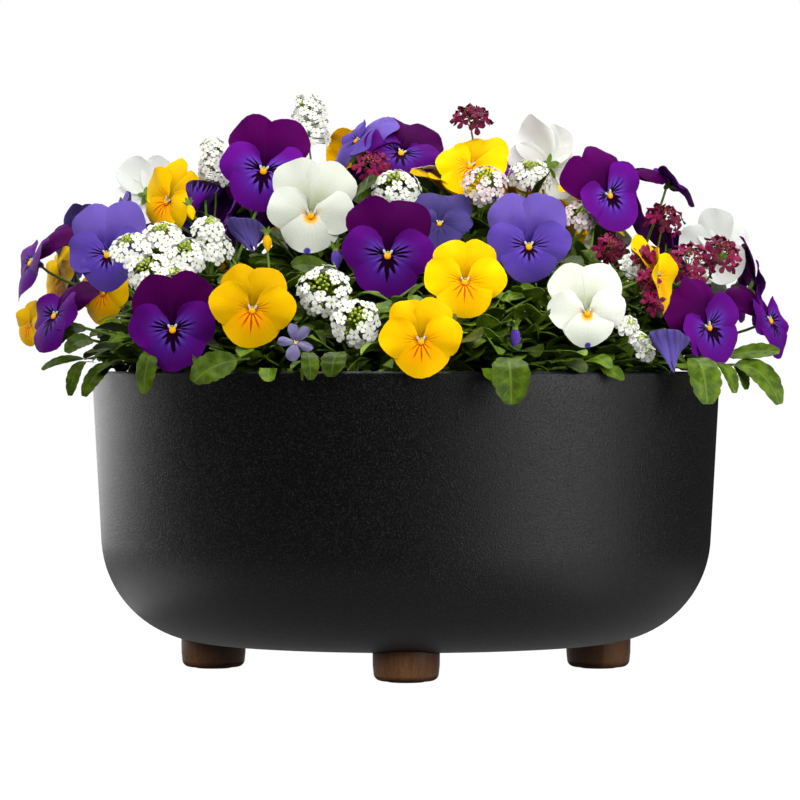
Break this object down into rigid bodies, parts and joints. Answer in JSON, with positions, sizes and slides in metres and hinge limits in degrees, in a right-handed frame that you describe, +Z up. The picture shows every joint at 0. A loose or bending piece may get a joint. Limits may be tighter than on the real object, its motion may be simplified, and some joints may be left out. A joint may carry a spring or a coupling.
{
  "type": "raised planter",
  "caption": "Round black bowl planter raised on short turned wooden feet, with a drain plug and a lift-out liner full of pansies and alyssum.",
  "frame": {"origin": "on the bowl's axis, on the ground under the foot pads", "axes": "+Z up along the bowl's axis, -Y towards the front foot, +X towards the right foot"},
  "size_m": [0.5224, 0.5224, 0.3878],
  "materials": {
    "powder_coat": "matte",
    "walnut": "satin",
    "rubber": "matte",
    "brass": "satin",
    "zinc_steel": "satin",
    "liner_plastic": "matte",
    "potting_soil": "matte",
    "pansy_purple": "matte",
    "pansy_blue": "matte",
    "pansy_yellow": "matte",
    "pansy_white": "matte",
    "alyssum_white": "matte",
    "alyssum_wine": "matte"
  },
  "bodies": {
    "planter": {"pot_shell": "powder_coat", "foot_front": "walnut", "foot_pad_front": "rubber", "threaded_insert_front": "brass", "foot_bolt_front": "zinc_steel", "bolt_washer_front": "zinc_steel", "seal_washer_front": "rubber", "foot_right": "walnut", "foot_pad_right": "rubber", "threaded_insert_right": "brass", "foot_bolt_right": "zinc_steel", "bolt_washer_right": "zinc_steel", "seal_washer_right": "rubber", "foot_rear": "walnut", "foot_pad_rear": "rubber", "threaded_insert_rear": "brass", "foot_bolt_rear": "zinc_steel", "bolt_washer_rear": "zinc_steel", "seal_washer_rear": "rubber", "foot_left": "walnut", "foot_pad_left": "rubber", "threaded_insert_left": "brass", "foot_bolt_left": "zinc_steel", "bolt_washer_left": "zinc_steel", "seal_washer_left": "rubber"},
    "drain_plug": {"drain_plug": "rubber"},
    "planting": {"grow_liner": "liner_plastic", "soil": "potting_soil", "pansy_yellow_front": "pansy_yellow", "pansy_white_front_right": "pansy_white", "pansy_purple_front_right": "pansy_purple", "alyssum_wine_right": "alyssum_wine", "pansy_purple_right": "pansy_purple", "pansy_white_right": "pansy_white", "pansy_yellow_rear_right": "pansy_yellow", "pansy_blue_rear": "pansy_blue", "alyssum_white_rear": "alyssum_white", "pansy_yellow_rear_left": "pansy_yellow", "pansy_purple_left": "pansy_purple", "pansy_blue_left": "pansy_blue", "alyssum_white_left": "alyssum_white", "pansy_purple_front_left": "pansy_purple", "pansy_yellow_front_left": "pansy_yellow", "alyssum_white_front": "alyssum_white", "pansy_purple_centre": "pansy_purple", "pansy_blue_centre_right": "pansy_blue", "pansy_yellow_centre_right": "pansy_yellow", "pansy_white_centre_rear": "pansy_white", "pansy_purple_centre_rear": "pansy_purple", "pansy_purple_centre_left": "pansy_purple", "pansy_white_centre_left": "pansy_white", "alyssum_white_centre": "alyssum_white"}
  },
  "joints": [
    {"name": "planting_lift", "type": "slide", "parent": "planter", "child": "planting", "axis": [0, 0, 1], "range_m": [0, 0.19]},
    {"name": "drain_plug_pull", "type": "slide", "parent": "planter", "child": "drain_plug", "axis": [0, 0, -1], "range_m": [0, 0.0125]}
  ]
}
